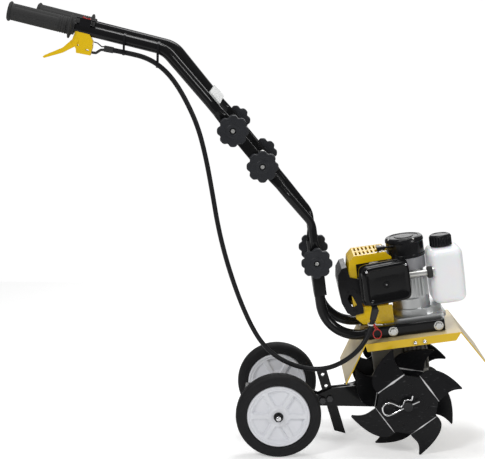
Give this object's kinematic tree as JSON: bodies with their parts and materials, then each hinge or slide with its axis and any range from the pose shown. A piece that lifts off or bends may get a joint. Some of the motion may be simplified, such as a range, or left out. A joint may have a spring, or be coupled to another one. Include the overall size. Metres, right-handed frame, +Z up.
{
  "type": "mini tiller",
  "caption": "Small walk-behind petrol tiller with a folding twin-tube handle, vertical-crank engine, worm gearbox, sickle tines, mudguard and rear transport wheels.",
  "frame": {"origin": "on the floor at the middle of the machine's length and width", "axes": "+X forward to the tines, +Y to the machine's left, +Z up"},
  "size_m": [0.9809, 0.3404, 0.9444],
  "materials": {
    "black_tube": "semi-gloss black powder coat",
    "grey_strip": "light grey paint",
    "charcoal_knob": "moulded charcoal nylon",
    "zinc": "zinc-plated steel",
    "cast_silver": "sand-textured die casting",
    "dark_casting": "black painted casting",
    "grey_casting": "grey painted casting",
    "steel": "ground steel",
    "tine_steel": "black painted spring steel",
    "yellow_plastic": "glossy yellow moulding",
    "yellow_paint": "yellow powder coat",
    "black_plastic": "black moulding",
    "black_gloss": "glossy black heat paint",
    "tank_plastic": "milky translucent plastic",
    "rubber": "moulded rubber",
    "tyre": "solid rubber",
    "rim_plastic": "light grey moulded rim",
    "red_plastic": "red switch cap",
    "ceramic": "white insulator",
    "bronze": "gear bronze"
  },
  "bodies": {
    "chassis": {"lower_tube_left": "black_tube", "lower_tube_right": "black_tube", "frame_bolts": "zinc", "clutch_housing": "cast_silver", "crankcase": "cast_silver", "cylinder": "cast_silver", "spark_plug": "ceramic", "plug_cap": "black_plastic", "fan_housing": "grey_casting", "recoil_cover": "black_plastic", "cylinder_cover": "yellow_plastic", "rear_guard": "black_plastic", "muffler": "black_gloss", "carburettor": "cast_silver", "air_filter_cover": "black_plastic", "fuel_tank": "tank_plastic", "tank_mount": "zinc", "gearbox_housing": "dark_casting", "mudguard": "yellow_paint", "hitch_arm": "black_tube", "loom_boot": "rubber", "control_loom": "rubber"},
    "middle_handle": {"middle_tube_left": "black_tube", "middle_tube_right": "black_tube"},
    "upper_handle": {"upper_tube_left": "black_tube", "upper_tube_right": "black_tube", "upper_crossbar": "grey_strip", "handle_bolts": "zinc", "grip_left": "rubber", "grip_right": "rubber", "throttle_bracket": "yellow_plastic", "stop_switch": "black_plastic", "control_cables": "rubber"},
    "throttle_lever": {"throttle_lever": "yellow_plastic"},
    "stop_rocker": {"stop_rocker": "red_plastic"},
    "starter_handle": {"starter_handle": "black_plastic"},
    "starter_pulley": {"starter_pulley": "black_plastic"},
    "fuel_cap": {"fuel_cap": "black_plastic"},
    "crank": {"crankshaft": "steel", "flywheel": "cast_silver"},
    "piston": {"piston": "cast_silver"},
    "tines": {"tine_shaft": "steel", "worm_wheel": "bronze", "tine_set_left": "tine_steel", "tine_set_right": "tine_steel", "r_clips": "zinc"},
    "worm": {"worm_shaft": "steel", "clutch_drum": "steel"},
    "wheel_carrier": {"wheel_carrier": "black_tube"},
    "wheel_left": {"wheel_rim_left": "rim_plastic", "tyre_left": "tyre"},
    "wheel_right": {"wheel_rim_right": "rim_plastic", "tyre_right": "tyre"},
    "depth_stake": {"depth_stake": "black_tube"},
    "knob_upper_left": {"knob_upper_left": "charcoal_knob"},
    "knob_upper_right": {"knob_upper_right": "charcoal_knob"},
    "knob_middle_left": {"knob_middle_left": "charcoal_knob"},
    "knob_middle_right": {"knob_middle_right": "charcoal_knob"},
    "knob_lower_left": {"knob_lower_left": "charcoal_knob"},
    "knob_lower_right": {"knob_lower_right": "charcoal_knob"}
  },
  "joints": [
    {"name": "middle_handle_tilt", "type": "hinge", "parent": "chassis", "child": "middle_handle", "pos_m": [0.1245, 0, 0.41], "axis": [0, 1, 0], "range_deg": [-30, 40], "deforming": ["control_loom"]},
    {"name": "upper_handle_fold", "type": "hinge", "parent": "middle_handle", "child": "upper_handle", "pos_m": [0.011, 0, 0.616], "axis": [0, 1, 0], "range_deg": [0, 120], "deforming": ["control_loom"]},
    {"name": "throttle", "type": "hinge", "parent": "upper_handle", "child": "throttle_lever", "pos_m": [-0.35507, -0.14383, 0.86762], "axis": [-0.0443, 0.999, 0.011], "range_deg": [0, 18], "stiffness_Nm_per_rad": 0.3, "springref_deg": -28.65},
    {"name": "stop_rocker_tip", "type": "hinge", "parent": "upper_handle", "child": "stop_rocker", "pos_m": [-0.33466, -0.14338, 0.90819], "axis": [-0.0443, 0.999, 0.011], "range_deg": [-8, 8]},
    {"name": "starter_pull", "type": "slide", "parent": "chassis", "child": "starter_handle", "axis": [-0.9903, 0, -0.1392], "range_m": [0, 0.5], "stiffness_N_per_m": 20, "springref_m": -0.2},
    {"name": "starter_pulley_turn", "type": "hinge", "parent": "chassis", "child": "starter_pulley", "pos_m": [0.31781, 0, 0.41984], "axis": [0.1392, 0, -0.9903], "range_deg": [0, 1030]},
    {"name": "fuel_cap_turn", "type": "hinge", "parent": "chassis", "child": "fuel_cap", "pos_m": [0.39406, 0, 0.43056], "axis": [-0.1392, 0, 0.9903], "continuous": true},
    {"name": "crank_turn", "type": "hinge", "parent": "chassis", "child": "crank", "pos_m": [0.32727, 0, 0.35251], "axis": [-0.1392, 0, 0.9903], "continuous": true},
    {"name": "piston_stroke", "type": "slide", "parent": "chassis", "child": "piston", "axis": [0.9903, 0, 0.1392], "range_m": [-0.0175, 0.012]},
    {"name": "tine_turn", "type": "hinge", "parent": "chassis", "child": "tines", "pos_m": [0.315, 0, 0.1165], "axis": [0, 1, 0], "continuous": true},
    {"name": "worm_turn", "type": "hinge", "parent": "chassis", "child": "worm", "pos_m": [0.34564, 0, 0.22179], "axis": [-0.1392, 0, 0.9903], "continuous": true},
    {"name": "wheel_carrier_swing", "type": "hinge", "parent": "chassis", "child": "wheel_carrier", "pos_m": [0.144, 0, 0.087], "axis": [0, 1, 0], "range_deg": [0, 30]},
    {"name": "wheel_left_turn", "type": "hinge", "parent": "wheel_carrier", "child": "wheel_left", "pos_m": [0.046, 0.118, 0.09], "axis": [0, 1, 0], "continuous": true},
    {"name": "wheel_right_turn", "type": "hinge", "parent": "wheel_carrier", "child": "wheel_right", "pos_m": [0.046, -0.118, 0.09], "axis": [0, 1, 0], "continuous": true},
    {"name": "depth_stake_swing", "type": "hinge", "parent": "chassis", "child": "depth_stake", "pos_m": [0.16, 0, 0.0905], "axis": [0, 1, 0], "range_deg": [-16, 0]},
    {"name": "knob_upper_left_turn", "type": "hinge", "parent": "upper_handle", "child": "knob_upper_left", "pos_m": [-0.04861, 0.118, 0.68804], "axis": [0, 1, 0], "continuous": true},
    {"name": "knob_middle_left_turn", "type": "hinge", "parent": "upper_handle", "child": "knob_middle_left", "pos_m": [0.011, 0.118, 0.616], "axis": [0, 1, 0], "continuous": true},
    {"name": "knob_lower_left_turn", "type": "hinge", "parent": "chassis", "child": "knob_lower_left", "pos_m": [0.1245, 0.085, 0.41], "axis": [0, 1, 0], "continuous": true},
    {"name": "knob_upper_right_turn", "type": "hinge", "parent": "upper_handle", "child": "knob_upper_right", "pos_m": [-0.04861, -0.118, 0.68804], "axis": [0, 1, 0], "continuous": true},
    {"name": "knob_middle_right_turn", "type": "hinge", "parent": "upper_handle", "child": "knob_middle_right", "pos_m": [0.011, -0.118, 0.616], "axis": [0, 1, 0], "continuous": true},
    {"name": "knob_lower_right_turn", "type": "hinge", "parent": "chassis", "child": "knob_lower_right", "pos_m": [0.1245, -0.085, 0.41], "axis": [0, 1, 0], "continuous": true}
  ],
  "couplings": [
    {"joint": "starter_pulley_turn", "follows": "starter_pull", "rad_per_m": 35.714},
    {"joint": "worm_turn", "follows": "tine_turn", "ratio": 34}
  ]
}
